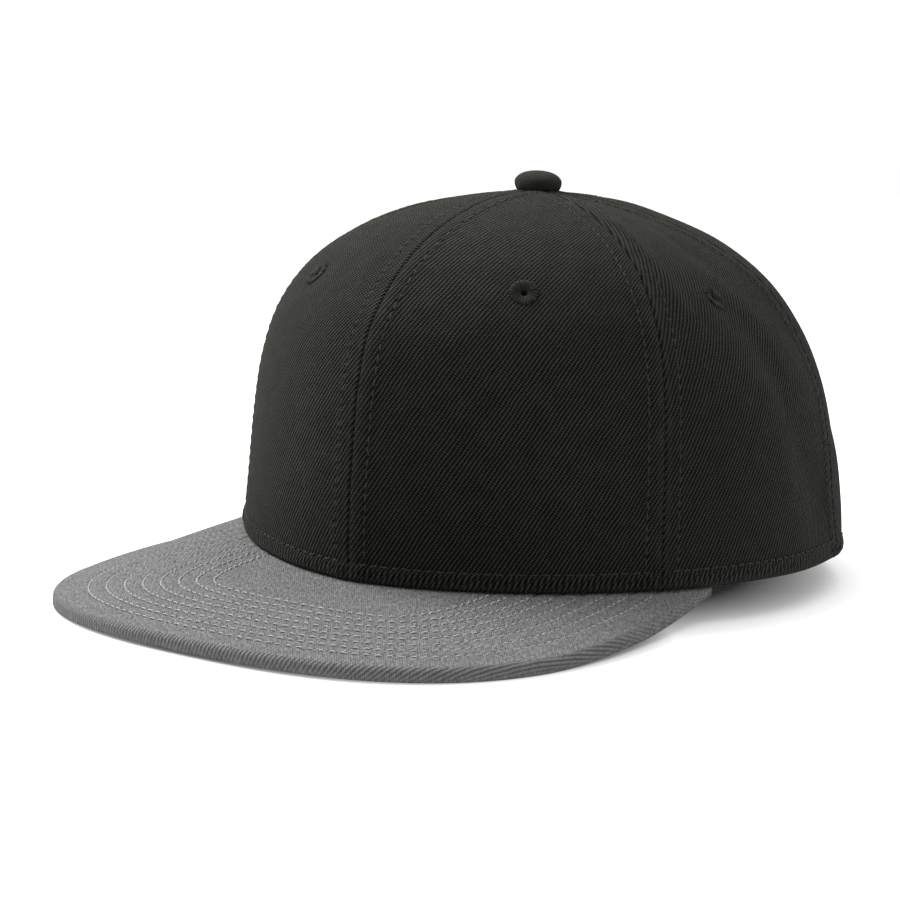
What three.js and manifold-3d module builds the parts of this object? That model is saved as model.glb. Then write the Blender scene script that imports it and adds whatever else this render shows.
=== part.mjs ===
// Snapback cap: six panel crown, flat brim, button, eyelets, sweatband and back strap.
// Millimetres, Z up. The brim points towards -Y and the wearer's left is +X.
// The cap lies as it does on a table: the brim's corners and the back strap touch z = 0.
import * as THREE from "three";
import { mergeVertices } from "three/addons/utils/BufferGeometryUtils.js";
import Module from "manifold-3d";

const wasm = await Module();
wasm.setup();

// Crown
const crownHalfWidth = 92.5;
const crownFrontReach = 99.5;
const crownBackReach = 98;
const crownHeight = 115.7;
const frontLift = 8.5;
const sideLift = 10.7;
const apexAhead = 8.6;
const clothWall = 2;
const clearance = 0.3;
const frontRoundness = 1.76;
const backRoundness = 2.19;
const cheekFullness = 0.082;
const hipFullness = 0.022;
const hipTopClimb = 0.24;
const frontSeamDegrees = 54.3;
const backSeamDegrees = 105;
const flatRimDegrees = 12;
const fullRimDegrees = 82;

// Brim
const brimLength = 70.5;
const brimHalfWidth = 82.2;
const brimThickness = 3.6;
const brimRoundness = 2.67;
const brimWidestAhead = 80.5;
const brimEndHalfWidth = 80.7;
const brimEndAhead = 38;
const brimFrontRise = 0.6;
const brimEndThickness = 2.6;
const brimTuck = 3.4;
const brimAttachDegrees = 63.5;
const brimLip = 3;
const brimEdgeRound = 1.2;
const underCloth = 1;

// Button on top
const buttonRadius = 7.2;
const buttonHeight = 6.3;
const shankRadius = 2.6;
const shankTail = 1;

// Eyelets
const eyeletRadius = 4;
const eyeletBore = 1.1;
const eyeletTube = 2.5;
const eyeletThickness = 0.9;
const eyeletSeat = 0.45;

// Sweatband inside the rim
const sweatbandHeight = 28;
const sweatbandThickness = 1;
const sweatbandSetBack = 1.5;
const sweatbandEndGap = 3;
const sweatbandEase = 0.2;

// Opening at the back and the strap across it
const archHalfWidth = 41;
const archHeight = 50;
const strapHeight = 20;
const strapThickness = 1.6;
const strapOverlap = 11;
const clasp = { halfLength: 26, thickness: 1.6, pegs: 6, pegRadius: 2, pegRise: 0.7 };

// Sections of the crown from the rim to the apex. Height is a share of the way up,
// and the others are shares of the rim's own reach towards the front, side and back.
const crownSections = [
  { height: 0, front: 1, side: 1, back: 1 },
  { height: 0.16, front: 1.012, side: 0.967, back: 0.985 },
  { height: 0.33, front: 1.008, side: 0.945, back: 0.95 },
  { height: 0.5, front: 0.992, side: 0.905, back: 0.87 },
  { height: 0.65, front: 0.942, side: 0.825, back: 0.81 },
  { height: 0.78, front: 0.81, side: 0.7, back: 0.745 },
  { height: 0.88, front: 0.636, side: 0.526, back: 0.636 },
  { height: 0.95, front: 0.42, side: 0.325, back: 0.45 },
  { height: 0.985, front: 0.225, side: 0.155, back: 0.29 },
  { height: 1, front: 0, side: 0, back: 0 },
];

// Soft creases in the side panels: a line from one place to another, each place given by
// its angle in degrees from the front and its share of the climb. Depth and width are
// shares of the crown's half width.
const creases = [
  { fromAngle: 78, fromClimb: 0.5, toAngle: 97, toClimb: 0.12, depth: 0.014, width: 0.0865 },
  { fromAngle: 84, fromClimb: 0.62, toAngle: 104, toClimb: 0.4, depth: 0.0097, width: 0.097 },
];

// Eyelets: the middle of each panel, by angle from the front and share of the climb.
const eyeletPlaces = {
  front: { angle: 30, climb: 0.536 },
  side: { angle: 74.5, climb: 0.528 },
  back: { angle: 142, climb: 0.54 },
};

const panelColumns = 12;
const panelRows = 18;
const panelTopClimb = 0.992;
const brimSteps = 40;
const bandSteps = 48;
const strapSteps = 32;

const radians = (degrees) => (degrees * Math.PI) / 180;
const clamp = (value, low, high) => Math.min(Math.max(value, low), high);
const signedPower = (value, power) => Math.sign(value) * Math.abs(value) ** power;

function smooth(value) {
  const share = clamp(value, 0, 1);
  return share * share * (3 - 2 * share);
}

// A smooth curve through one column of the section table.
function alongSections(column, climb) {
  const last = crownSections.length - 1;
  const place = clamp(climb, 0, 1) * last;
  const row = Math.min(Math.floor(place), last - 1);
  const share = place - row;
  const at = (k) => crownSections[k][column];
  const here = at(row);
  const next = at(row + 1);
  const before = row > 0 ? at(row - 1) : 2 * here - next;
  const after = row + 2 <= last ? at(row + 2) : 2 * next - here;
  const bend = 2 * before - 5 * here + 4 * next - after;
  const twist = 3 * (here - next) + after - before;
  return here + 0.5 * share * (next - before + share * (bend + share * twist));
}

// The rim's lower outer edge. Angle 0 is the front, and a quarter turn is the wearer's left.
function rimPoint(angle) {
  const ahead = Math.cos(angle);
  const aside = Math.sin(angle);
  const power = 2 / (ahead > 0 ? frontRoundness : backRoundness);
  const reach = ahead > 0 ? crownFrontReach : crownBackReach;
  const x = crownHalfWidth * signedPower(aside, power);
  const y = -reach * signedPower(ahead, power);
  return new THREE.Vector3(x, y, rimLift(angle));
}

function rimLift(angle) {
  const ahead = Math.cos(angle);
  if (ahead > 0) return frontLift * ahead ** 2 + sideLift * (1 - ahead ** 2);
  const fromBack = THREE.MathUtils.radToDeg(Math.acos(clamp(-ahead, -1, 1)));
  return sideLift * smooth((fromBack - flatRimDegrees) / (fullRimDegrees - flatRimDegrees));
}

// The crown's outer surface without creases.
function plainCrownPoint(angle, climb) {
  const ahead = Math.max(Math.cos(angle), 0) ** 2;
  const behind = Math.max(-Math.cos(angle), 0) ** 2;
  const aside = Math.sin(angle) ** 2;
  const foot = rimPoint(angle);
  let reach = alongSections("front", climb) * ahead + alongSections("side", climb) * aside;
  reach += alongSections("back", climb) * behind;
  const fullness = cheekFullness * 4 * ahead * aside;
  reach *= 1 + fullness * Math.sin(Math.PI * clamp(reach, 0, 1));
  const hip = hipFullness * 4 * behind * aside;
  reach *= 1 + hip * Math.sin(Math.PI * clamp(climb / hipTopClimb, 0, 1));
  const rise = alongSections("height", climb);
  const y = -apexAhead + (foot.y + apexAhead) * reach;
  return new THREE.Vector3(foot.x * reach, y, foot.z + (crownHeight - foot.z) * rise);
}

function outwardNormal(angle, climb) {
  const step = 0.004;
  const low = Math.max(climb - step, 0);
  const high = Math.min(climb + step, 1 - step);
  const across = plainCrownPoint(angle + step, climb).sub(plainCrownPoint(angle - step, climb));
  const upward = plainCrownPoint(angle, high).sub(plainCrownPoint(angle, low));
  return across.cross(upward).normalize();
}

// How deep the creases press in at one place.
function creaseDepth(angle, climb) {
  const side = Math.abs(THREE.MathUtils.radToDeg(Math.atan2(Math.sin(angle), Math.cos(angle))));
  const alongRim = radians(1) * crownHalfWidth;
  let depth = 0;
  for (const crease of creases) {
    const runX = (crease.toAngle - crease.fromAngle) * alongRim;
    const runZ = (crease.toClimb - crease.fromClimb) * crownHeight;
    const x = (side - crease.fromAngle) * alongRim;
    const z = (climb - crease.fromClimb) * crownHeight;
    const share = clamp((x * runX + z * runZ) / (runX ** 2 + runZ ** 2), 0, 1);
    const off = Math.hypot(x - share * runX, z - share * runZ);
    const width = crease.width * crownHalfWidth;
    depth += crease.depth * crownHalfWidth * Math.exp(-((off / width) ** 2));
  }
  return depth;
}

function crownPoint(angle, climb, inward = 0) {
  const point = plainCrownPoint(angle, climb);
  const normal = outwardNormal(angle, climb);
  return point.addScaledVector(normal, -inward - creaseDepth(angle, climb));
}

// The direction out of the surface with its creases, over the width of an eyelet.
function seatNormal(angle, climb) {
  const turn = eyeletRadius / crownHalfWidth;
  const rise = eyeletRadius / crownHeight;
  const across = crownPoint(angle + turn, climb).sub(crownPoint(angle - turn, climb));
  const upward = crownPoint(angle, climb + rise).sub(crownPoint(angle, climb - rise));
  return across.cross(upward).normalize();
}

// The share of the climb at a height above the rim, measured along Z.
function climbAtRise(angle, rise) {
  const wanted = rise / (crownHeight - rimLift(angle));
  let low = 0;
  let high = 1;
  for (let turn = 0; turn < 24; turn += 1) {
    const middle = (low + high) / 2;
    if (alongSections("height", middle) < wanted) low = middle;
    else high = middle;
  }
  return (low + high) / 2;
}

// A point inside the crown's wall near the rim, moved in level so that its height stays exact.
function bandPoint(angle, rise, inward) {
  const climb = climbAtRise(angle, rise);
  const point = plainCrownPoint(angle, climb);
  const level = outwardNormal(angle, climb).setZ(0).normalize();
  point.addScaledVector(level, -inward - creaseDepth(angle, climb));
  return point.setZ(rimLift(angle) + rise);
}

// The rim angle at the back where the crown is so wide either side of the middle.
function backAngleAt(halfWidth) {
  return Math.PI - Math.asin((halfWidth / crownHalfWidth) ** (backRoundness / 2));
}

// A seam's angle moved sideways until the wall stands half a clearance away from the seam.
function besideSeam(seam, climb, side) {
  const line = plainCrownPoint(seam, climb);
  let turn = 0.01;
  for (let count = 0; count < 6; count += 1) {
    const away = plainCrownPoint(seam + side * turn, climb).distanceTo(line);
    turn *= clearance / 2 / away;
  }
  return seam + side * turn;
}

// Closed solids from points

function solidFrom(points, triangles) {
  const geometry = new THREE.BufferGeometry();
  const numbers = points.flatMap((p) => [p.x, p.y, p.z]);
  geometry.setAttribute("position", new THREE.Float32BufferAttribute(numbers, 3));
  geometry.setIndex(triangles);
  return toManifold(geometry);
}

function toManifold(geometry) {
  geometry.deleteAttribute("normal");
  geometry.deleteAttribute("uv");
  const merged = mergeVertices(geometry, 1e-4);
  const vertProperties = new Float32Array(merged.attributes.position.array);
  const triVerts = new Uint32Array(merged.index.array);
  const solid = new wasm.Manifold(new wasm.Mesh({ numProp: 3, vertProperties, triVerts }));
  return solid;
}

// A sheet between an outer and an inner grid of points, rows by columns.
function sheetSolid(outer, inner) {
  const rows = outer.length;
  const columns = outer[0].length;
  const points = [...outer.flat(), ...inner.flat()];
  const triangles = [];
  const out = (r, c) => r * columns + c;
  const inn = (r, c) => rows * columns + r * columns + c;
  const quad = (a, b, c, d) => triangles.push(a, b, c, a, c, d);
  for (let r = 0; r < rows - 1; r += 1) {
    for (let c = 0; c < columns - 1; c += 1) {
      quad(out(r, c), out(r, c + 1), out(r + 1, c + 1), out(r + 1, c));
      quad(inn(r, c), inn(r + 1, c), inn(r + 1, c + 1), inn(r, c + 1));
    }
    const end = columns - 1;
    quad(out(r, 0), out(r + 1, 0), inn(r + 1, 0), inn(r, 0));
    quad(out(r, end), inn(r, end), inn(r + 1, end), out(r + 1, end));
  }
  for (let c = 0; c < columns - 1; c += 1) {
    const top = rows - 1;
    quad(out(0, c), inn(0, c), inn(0, c + 1), out(0, c + 1));
    quad(out(top, c), out(top, c + 1), inn(top, c + 1), inn(top, c));
  }
  return solidFrom(points, triangles);
}

// Triangles across a ring whose first half runs out along its top and the rest back below.
function capTriangles(size) {
  const triangles = [];
  let top = 0;
  let below = size - 1;
  while (below - top > 1) {
    triangles.push([top, below, below - 1]);
    below -= 1;
    if (below - top > 1) triangles.push([top, below, top + 1]);
    top += 1;
  }
  return triangles;
}

// A solid through equal rings of points, closed at both ends.
function loftSolid(rings) {
  const size = rings[0].length;
  const triangles = [];
  for (let k = 0; k < rings.length - 1; k += 1) {
    for (let i = 0; i < size; i += 1) {
      const j = (i + 1) % size;
      const here = k * size;
      const next = here + size;
      triangles.push(here + i, here + j, next + j, here + i, next + j, next + i);
    }
  }
  const lastStart = (rings.length - 1) * size;
  for (const [a, b, c] of capTriangles(size)) {
    triangles.push(a, b, c, lastStart + c, lastStart + b, lastStart + a);
  }
  return solidFrom(rings.flat(), triangles);
}

function latheSolid(profile, sides) {
  const geometry = new THREE.LatheGeometry(profile.map(([r, h]) => new THREE.Vector2(r, h)), sides);
  geometry.rotateX(Math.PI / 2);
  return toManifold(geometry);
}

function meshOf(solid, name, look) {
  const { vertProperties, triVerts } = solid.getMesh();
  const geometry = new THREE.BufferGeometry();
  geometry.setAttribute("position", new THREE.BufferAttribute(vertProperties, 3));
  geometry.setIndex(new THREE.BufferAttribute(triVerts, 1));
  geometry.computeVertexNormals();
  const material = new THREE.MeshStandardMaterial(look);
  material.name = name;
  const mesh = new THREE.Mesh(geometry, material);
  mesh.name = name;
  return mesh;
}

// Turns and moves a solid that was made round Z so that it sits on the crown's surface.
function placedOnCrown(solid, angle, climb) {
  const normal = seatNormal(angle, climb);
  const turn = new THREE.Quaternion().setFromUnitVectors(new THREE.Vector3(0, 0, 1), normal);
  const matrix = new THREE.Matrix4().makeRotationFromQuaternion(turn);
  matrix.setPosition(crownPoint(angle, climb));
  return solid.transform(matrix.elements);
}

// Crown panels

function eyeletCutter() {
  const radius = eyeletTube + clearance;
  const half = 3 * clothWall;
  return latheSolid([[0, -half], [radius, -half], [radius, half], [0, half]], 16);
}

function archCutter() {
  const shape = new THREE.Shape();
  shape.absellipse(0, 0, archHalfWidth, archHeight, 0, 2 * Math.PI, false, 0);
  const geometry = new THREE.ExtrudeGeometry(shape, {
    depth: crownBackReach,
    bevelEnabled: false,
    curveSegments: 24,
  });
  geometry.rotateX(Math.PI / 2);
  geometry.translate(0, 1.3 * crownBackReach, 0);
  return toManifold(geometry);
}

function shankCutter() {
  const radius = shankRadius + clearance;
  const top = crownHeight + clothWall;
  const profile = [[0, crownHeight - 4 * clothWall], [radius, crownHeight - 4 * clothWall]];
  profile.push([radius, top], [0, top]);
  return latheSolid(profile, 20).translate([0, -apexAhead, 0]);
}

function panelSolid(fromSeam, toSeam, place, hasArch) {
  const outer = [];
  const inner = [];
  for (let r = 0; r <= panelRows; r += 1) {
    const climb = (r / panelRows) * panelTopClimb;
    const start = besideSeam(fromSeam, climb, 1);
    const end = besideSeam(toSeam, climb, -1);
    const angles = Array.from({ length: panelColumns + 1 }, (unused, c) => {
      return start + ((end - start) * c) / panelColumns;
    });
    outer.push(angles.map((angle) => crownPoint(angle, climb)));
    inner.push(angles.map((angle) => crownPoint(angle, climb, clothWall)));
    if (r === 0) {
      outer[0].forEach((point, c) => point.setZ(rimLift(angles[c])));
      inner[0].forEach((point, c) => point.setZ(rimLift(angles[c])));
    }
  }
  let solid = sheetSolid(outer, inner);
  solid = solid.subtract(placedOnCrown(eyeletCutter(), radians(place.angle), place.climb));
  solid = solid.subtract(shankCutter());
  if (hasArch) solid = solid.subtract(archCutter());
  return solid;
}

// Brim

// The brim's outer edge seen from above, from 0 at the front middle to 1 at its rear end.
function brimEdge(place) {
  const frontPart = 0.75;
  const share = Math.abs(place);
  const turn = (clamp(share / frontPart, 0, 1) * Math.PI) / 2;
  const power = 2 / brimRoundness;
  const ahead = crownFrontReach + brimLength - brimWidestAhead;
  let x = brimHalfWidth * Math.sin(turn) ** power;
  let y = -brimWidestAhead - ahead * Math.max(Math.cos(turn), 0) ** power;
  const rear = clamp((share - frontPart) / (1 - frontPart), 0, 1);
  x -= (brimHalfWidth - brimEndHalfWidth) * rear ** 2;
  y += (brimWidestAhead - brimEndAhead) * rear;
  return new THREE.Vector3(Math.sign(place) * x, y, 0);
}

function brimRoot(place) {
  const angle = place * radians(brimAttachDegrees);
  const inward = outwardNormal(angle, 0).setZ(0).normalize();
  return rimPoint(angle).addScaledVector(inward, -brimTuck).setZ(brimRootHeight(place));
}

// The brim thins towards the ends that tuck under the rim.
function brimThicknessAt(place) {
  const thinning = smooth((Math.abs(place) - 0.8) / 0.2);
  return brimThickness + (brimEndThickness - brimThickness) * thinning;
}

// Heights of the middle of the brim's thickness, at its root and at its outer edge.
function brimRootHeight(place) {
  const lift = rimLift(place * radians(brimAttachDegrees));
  return lift - clearance - brimThicknessAt(place) / 2;
}

function brimEdgeHeight(place) {
  const corner = 0.58;
  const share = Math.abs(place);
  const resting = brimThickness / 2;
  if (share < corner) {
    return resting + (brimFrontRise * (1 + Math.cos((Math.PI * share) / corner))) / 2;
  }
  return resting + (brimRootHeight(1) - resting) * ((share - corner) / (1 - corner)) ** 1.6;
}

// A brim point: fromEdge is the distance in from the outer edge, raise is above the middle.
function brimPoint(place, share, fromEdge, raise) {
  const root = brimRoot(place);
  const edge = brimEdge(place).setZ(brimEdgeHeight(place));
  const length = root.distanceTo(edge);
  const way = clamp(share - fromEdge / length, 0, 1);
  return root.lerp(edge, way).add(new THREE.Vector3(0, 0, raise));
}

function brimSolid(profileAt) {
  const rings = [];
  for (let k = 0; k <= brimSteps; k += 1) {
    const place = (2 * k) / brimSteps - 1;
    const length = brimRoot(place).distanceTo(brimEdge(place).setZ(brimEdgeHeight(place)));
    const profile = profileAt(brimThicknessAt(place), length);
    rings.push(profile.map(([share, fromEdge, raise]) => brimPoint(place, share, fromEdge, raise)));
  }
  return loftSolid(rings);
}

// The upper cloth over the board, rolled round the edge and ending in a lip below.
function brimTopProfile(thickness, length) {
  const half = thickness / 2;
  const round = Math.min(brimEdgeRound, 0.3 * length);
  const lip = Math.min(brimLip, 0.6 * length);
  const floor = -half + underCloth + clearance;
  return [
    [0, 0, half],
    [0.5, 0, half],
    [1, round, half],
    [1, round * 0.3, half * 0.7],
    [1, 0, 0],
    [1, round * 0.3, -half * 0.7],
    [1, round, -half],
    [1, lip, -half],
    [1, lip, floor],
    [0.5, Math.min(lip, 0.1 * length), floor],
    [0, 0, floor],
  ];
}

function brimUnderProfile(thickness, length) {
  const half = thickness / 2;
  const lip = Math.min(brimLip, 0.6 * length) + clearance;
  return [
    [0, 0, -half + underCloth],
    [0.3, 0, -half + underCloth],
    [1, lip, -half + underCloth],
    [1, lip, -half],
    [0.3, 0, -half],
    [0, 0, -half],
  ];
}

// Button, eyelets, sweatband and strap

function buttonSolid() {
  const base = crownHeight + clearance;
  const foot = crownHeight - clothWall - shankTail;
  const dome = [
    [0, 1],
    [0.42, 0.96],
    [0.72, 0.85],
    [0.93, 0.68],
    [1, 0.47],
    [0.94, 0.22],
    [0.74, 0],
  ];
  const profile = dome.map(([out, up]) => [out * buttonRadius, base + up * buttonHeight]);
  profile.push([shankRadius, base], [shankRadius, foot], [0, foot]);
  return latheSolid(profile.reverse(), 24).translate([0, -apexAhead, 0]);
}

function eyeletSolid(place, side) {
  const low = eyeletSeat;
  const high = eyeletSeat + eyeletThickness;
  const profile = [
    [eyeletBore, -clothWall],
    [eyeletTube, -clothWall],
    [eyeletTube, low],
    [eyeletRadius, low],
    [eyeletRadius * 0.88, high * 0.9],
    [eyeletRadius * 0.58, high],
    [eyeletBore * 1.2, high * 0.8],
    [eyeletBore, -clothWall],
  ];
  return placedOnCrown(latheSolid(profile, 14), side * radians(place.angle), place.climb);
}

// A band that follows the wall inside the rim.
function bandSolid(fromAngle, toAngle, steps, rises, depthOut, depthIn) {
  const gridAt = (inward) => rises.map((rise) => {
    return Array.from({ length: steps + 1 }, (unused, k) => {
      return bandPoint(fromAngle + ((toAngle - fromAngle) * k) / steps, rise, inward);
    });
  });
  return sheetSolid(gridAt(depthOut), gridAt(depthIn));
}

function sweatbandSolid() {
  const end = backAngleAt(archHalfWidth + strapOverlap + sweatbandEndGap);
  const shares = [0, 0.25, 0.5, 0.75, 1];
  const rises = shares.map((share) => sweatbandSetBack + share * sweatbandHeight);
  const outside = clothWall + clearance + sweatbandEase;
  return bandSolid(-end, end, bandSteps, rises, outside, outside + sweatbandThickness);
}

function strapSolid() {
  const end = backAngleAt(archHalfWidth + strapOverlap);
  const claspEnd = backAngleAt(clasp.halfLength);
  const outside = clothWall + clearance;
  const full = 2 * Math.PI;
  const rises = [0, strapHeight];
  let strap = bandSolid(end, full - end, strapSteps, rises, outside, outside + strapThickness);
  const claspOut = outside - clasp.thickness;
  const claspIn = outside + strapThickness / 2;
  const claspSteps = strapSteps / 2;
  strap = strap.add(bandSolid(claspEnd, full - claspEnd, claspSteps, rises, claspOut, claspIn));
  const pegLength = clasp.pegRise + clasp.thickness / 2;
  const pegProfile = [[0, 0], [clasp.pegRadius, 0], [clasp.pegRadius, pegLength], [0, pegLength]];
  for (let k = 0; k < clasp.pegs; k += 1) {
    const across = ((2 * k + 1) / clasp.pegs - 1) * clasp.halfLength;
    const angle = across < 0 ? full - backAngleAt(-across) : backAngleAt(across);
    const foot = bandPoint(angle, strapHeight / 2, claspOut + clasp.thickness / 2);
    const level = outwardNormal(angle, climbAtRise(angle, strapHeight / 2)).setZ(0).normalize();
    const turn = new THREE.Quaternion().setFromUnitVectors(new THREE.Vector3(0, 0, 1), level);
    const matrix = new THREE.Matrix4().makeRotationFromQuaternion(turn).setPosition(foot);
    strap = strap.add(latheSolid(pegProfile, 12).transform(matrix.elements));
  }
  return strap;
}

// Assembly

const cloth = { color: 0x2b2b29, roughness: 0.95, metalness: 0 };
const brimCloth = { color: 0x7c7c7c, roughness: 0.95, metalness: 0 };
const thread = { color: 0x252523, roughness: 0.8, metalness: 0 };
const plastic = { color: 0x161616, roughness: 0.5, metalness: 0 };

const cap = new THREE.Group();
cap.name = "snapback_cap";
const keep = (name, solid, look) => cap.add(meshOf(solid, name, look));

const frontSeam = radians(frontSeamDegrees);
const backSeam = radians(backSeamDegrees);
const halfTurn = Math.PI;

for (const [side, word] of [[1, "left"], [-1, "right"]]) {
  const panels = [
    { name: "front_panel", from: 0, to: frontSeam, place: eyeletPlaces.front, arch: false },
    { name: "side_panel", from: frontSeam, to: backSeam, place: eyeletPlaces.side, arch: false },
    { name: "back_panel", from: backSeam, to: halfTurn, place: eyeletPlaces.back, arch: true },
  ];
  for (const panel of panels) {
    let solid = panelSolid(panel.from, panel.to, panel.place, panel.arch);
    if (side < 0) solid = solid.mirror([1, 0, 0]);
    keep(`${panel.name}_${word}`, solid, cloth);
    const eyeletName = panel.name.replace("panel", "eyelet");
    keep(`${eyeletName}_${word}`, eyeletSolid(panel.place, side), thread);
  }
}
keep("brim_top", brimSolid(brimTopProfile), brimCloth);
keep("brim_under", brimSolid(brimUnderProfile), brimCloth);
keep("button", buttonSolid(), cloth);
keep("sweatband", sweatbandSolid(), cloth);
keep("snap_strap", strapSolid(), plastic);

// The origin lies under the middle of the whole length.
const extent = new THREE.Box3().setFromObject(cap);
const middle = (extent.min.y + extent.max.y) / 2;
for (const mesh of cap.children) mesh.geometry.translate(0, -middle, 0);

export default cap;
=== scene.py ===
"""Snapback cap: sewn cloth, stitches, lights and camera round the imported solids.

Lengths are millimetres until a mesh is made. The brim points towards -Y, and the
wearer's left is +X. An angle of 0 is the front of the rim, and a quarter turn the left.
"""

import math

import bpy
import numpy as np
from mathutils import Matrix
from mathutils.kdtree import KDTree


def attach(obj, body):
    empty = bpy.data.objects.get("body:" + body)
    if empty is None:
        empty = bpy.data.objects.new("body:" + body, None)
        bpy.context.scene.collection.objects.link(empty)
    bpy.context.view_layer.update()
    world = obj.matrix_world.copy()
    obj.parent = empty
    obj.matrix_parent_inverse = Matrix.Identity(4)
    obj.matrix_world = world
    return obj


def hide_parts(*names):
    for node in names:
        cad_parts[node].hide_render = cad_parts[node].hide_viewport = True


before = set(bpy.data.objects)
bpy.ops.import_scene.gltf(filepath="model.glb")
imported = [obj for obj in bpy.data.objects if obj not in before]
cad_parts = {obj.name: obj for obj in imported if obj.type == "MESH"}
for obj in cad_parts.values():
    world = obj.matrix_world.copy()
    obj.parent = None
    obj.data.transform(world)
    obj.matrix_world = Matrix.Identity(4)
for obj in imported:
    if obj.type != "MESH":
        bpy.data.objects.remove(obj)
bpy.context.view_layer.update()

MM = 0.001

# Crown, as in the solids
CROWN_HALF_WIDTH = 92.5
CROWN_FRONT_REACH = 99.5
CROWN_BACK_REACH = 98
CROWN_HEIGHT = 115.7
FRONT_LIFT = 8.5
SIDE_LIFT = 10.7
APEX_AHEAD = 8.6
CLOTH_WALL = 2
CLEARANCE = 0.3
FRONT_ROUNDNESS = 1.76
BACK_ROUNDNESS = 2.19
CHEEK_FULLNESS = 0.082
HIP_FULLNESS = 0.022
HIP_TOP_CLIMB = 0.24
FRONT_SEAM = math.radians(54.3)
BACK_SEAM = math.radians(105)
FLAT_RIM_DEGREES = 12
FULL_RIM_DEGREES = 82

# Brim, as in the solids
BRIM_LENGTH = 70.5
BRIM_HALF_WIDTH = 82.2
BRIM_THICKNESS = 3.6
BRIM_ROUNDNESS = 2.67
BRIM_WIDEST_AHEAD = 80.5
BRIM_END_HALF_WIDTH = 80.7
BRIM_END_AHEAD = 38
BRIM_FRONT_RISE = 0.6
BRIM_END_THICKNESS = 2.6
BRIM_TUCK = 3.4
BRIM_ATTACH = math.radians(63.5)
BRIM_LIP = 3
UNDER_CLOTH = 1

# Button, eyelets, sweatband and strap, as in the solids
BUTTON_RADIUS = 7.2
BUTTON_HEIGHT = 6.3
EYELET_RADIUS = 4
EYELET_TUBE = 2.5
EYELET_BORE = 0.9
SWEATBAND_HEIGHT = 28
SWEATBAND_THICKNESS = 1
SWEATBAND_SET_BACK = 1.5
SWEATBAND_END_GAP = 3
SWEATBAND_EASE = 0.2
ARCH_HALF_WIDTH = 41
ARCH_HEIGHT = 50
STRAP_OVERLAP = 11
CLASP_THICKNESS = 1.6

# The solids are centred on their whole length, from the brim's front to the clasp.
BACK_REACH = CROWN_BACK_REACH - CLOTH_WALL - CLEARANCE + CLASP_THICKNESS
LENGTH_SHIFT = (CROWN_FRONT_REACH + BRIM_LENGTH - BACK_REACH) / 2

# Shares of the rim's reach towards the front, side and back, at shares of the height.
SECTIONS = {
    "height": (0, 0.16, 0.33, 0.5, 0.65, 0.78, 0.88, 0.95, 0.985, 1),
    "front": (1, 1.012, 1.008, 0.992, 0.942, 0.81, 0.636, 0.42, 0.225, 0),
    "side": (1, 0.967, 0.945, 0.905, 0.825, 0.7, 0.526, 0.325, 0.155, 0),
    "back": (1, 0.985, 0.95, 0.87, 0.81, 0.745, 0.636, 0.45, 0.29, 0),
}

# Soft creases in the side panels: degrees and climb at both ends. Depth and width are
# shares of the crown's half width.
CREASES = (
    {"angles": (78, 97), "climbs": (0.5, 0.12), "depth": 0.014, "width": 0.0865},
    {"angles": (84, 104), "climbs": (0.62, 0.4), "depth": 0.0097, "width": 0.097},
)

# Eyelets: degrees from the front and share of the climb.
EYELETS = {"front": (30, 0.536), "side": (74.5, 0.528), "back": (142, 0.54)}

# Sewing
STITCH_PITCH = 3.2
STITCH_LENGTH = 2.5
THREAD_RADIUS = 0.24
SEAM_ROW = 5.0
RIM_ROW = 5.0
BRIM_ROWS = (9.6, 14.5, 19.4, 24.3, 29.2, 34.1, 39.0, 43.9)
GROOVE_DEPTH = 0.46
SEAM_RISE = 0.34
HEM_RISE = 0.42
ROW_DEPTH = 0.36
BRIM_ROW_DEPTH = 0.34


def smooth(value):
    share = np.clip(value, 0, 1)
    return share * share * (3 - 2 * share)


def bump(distance, width):
    return np.exp(-((distance / width) ** 2))


# The crown's surface


def along_sections(column, climb):
    """A smooth curve through one column of the section table."""
    values = np.array(SECTIONS[column], float)
    before = 2 * values[0] - values[1]
    after = 2 * values[-1] - values[-2]
    knots = np.concatenate(([before], values, [after]))
    last = len(values) - 1
    place = np.clip(climb, 0, 1) * last
    row = np.minimum(np.floor(place).astype(int), last - 1)
    share = place - row
    a, b, c, d = (knots[row + k] for k in range(4))
    bend = 2 * a - 5 * b + 4 * c - d
    twist = 3 * (b - c) + d - a
    return b + 0.5 * share * (c - a + share * (bend + share * twist))


def rim_lift(angle):
    ahead = np.cos(angle)
    front = FRONT_LIFT * ahead**2 + SIDE_LIFT * (1 - ahead**2)
    from_back = np.degrees(np.arccos(np.clip(-ahead, -1, 1)))
    way = (from_back - FLAT_RIM_DEGREES) / (FULL_RIM_DEGREES - FLAT_RIM_DEGREES)
    return np.where(ahead > 0, front, SIDE_LIFT * smooth(way))


def rim_point(angle):
    ahead, aside = np.cos(angle), np.sin(angle)
    power = np.where(ahead > 0, 2 / FRONT_ROUNDNESS, 2 / BACK_ROUNDNESS)
    reach = np.where(ahead > 0, CROWN_FRONT_REACH, CROWN_BACK_REACH)
    x = CROWN_HALF_WIDTH * np.sign(aside) * np.abs(aside) ** power
    y = -reach * np.sign(ahead) * np.abs(ahead) ** power
    return np.stack([x, y, rim_lift(angle)], -1)


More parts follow.
